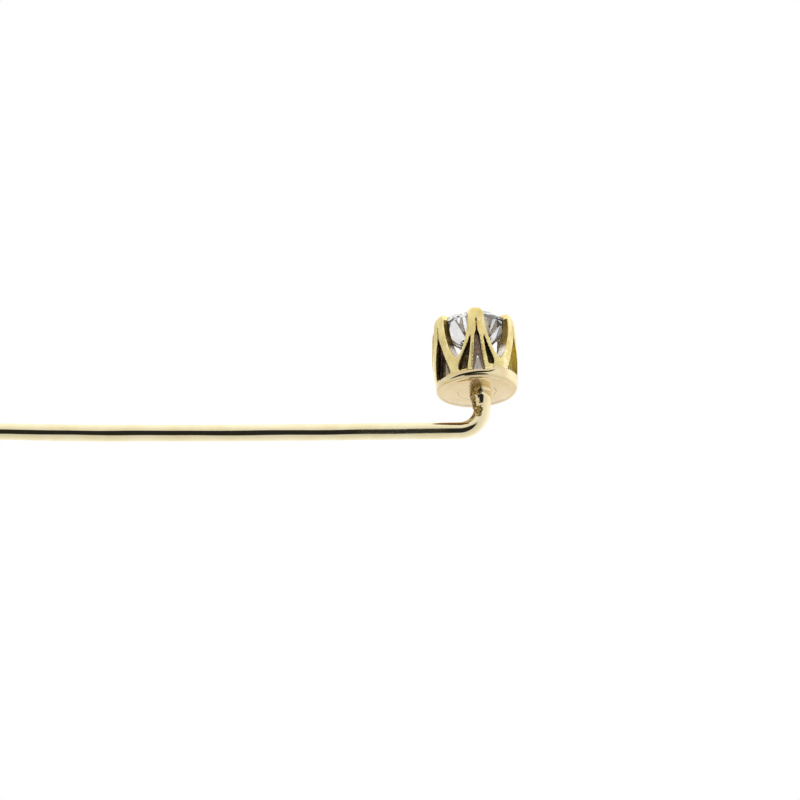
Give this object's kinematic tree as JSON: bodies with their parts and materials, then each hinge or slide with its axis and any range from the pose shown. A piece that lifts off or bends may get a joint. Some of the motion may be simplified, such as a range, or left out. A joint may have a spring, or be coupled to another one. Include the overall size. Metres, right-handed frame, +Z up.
{
  "type": "solitaire stick pin",
  "caption": "Solitaire tie pin: round brilliant in a pierced six-prong crown on a base disc, bent wire stem with a sharp point, and a spring-loaded ball-lock clutch on the point.",
  "frame": {"origin": "on the wire's axis, where the straight run meets the bend under the head", "axes": "+Z up along the straight wire, away from its point; -Y is the way the stone faces; +X is to the side"},
  "size_m": [0.0052, 0.0095, 0.0614],
  "materials": {
    "stone": "polished facets, colourless",
    "gold": "polished yellow gold",
    "solder": "rough gold solder",
    "gold_plate": "polished gold plate",
    "steel": "bright steel"
  },
  "bodies": {
    "pin": {"diamond": "stone", "prong_basket": "gold", "base_plate": "gold", "solder_joint": "solder", "pin_wire": "gold"},
    "clutch": {"clutch_housing": "gold_plate", "clutch_retainer": "steel"},
    "plunger": {"clutch_cage": "steel", "clutch_knob": "gold_plate", "clutch_ball_1": "steel", "clutch_ball_2": "steel", "clutch_ball_3": "steel", "clutch_spring": "steel"}
  },
  "joints": [
    {"name": "clutch_slide", "type": "slide", "parent": "pin", "child": "clutch", "axis": [0, 0, -1], "range_m": [0, 0.015]},
    {"name": "plunger_pull", "type": "slide", "parent": "clutch", "child": "plunger", "axis": [0, 0, -1], "range_m": [0, 0.0008], "stiffness_N_per_m": 800, "springref_m": -0.001, "deforming": ["clutch_spring"]}
  ]
}
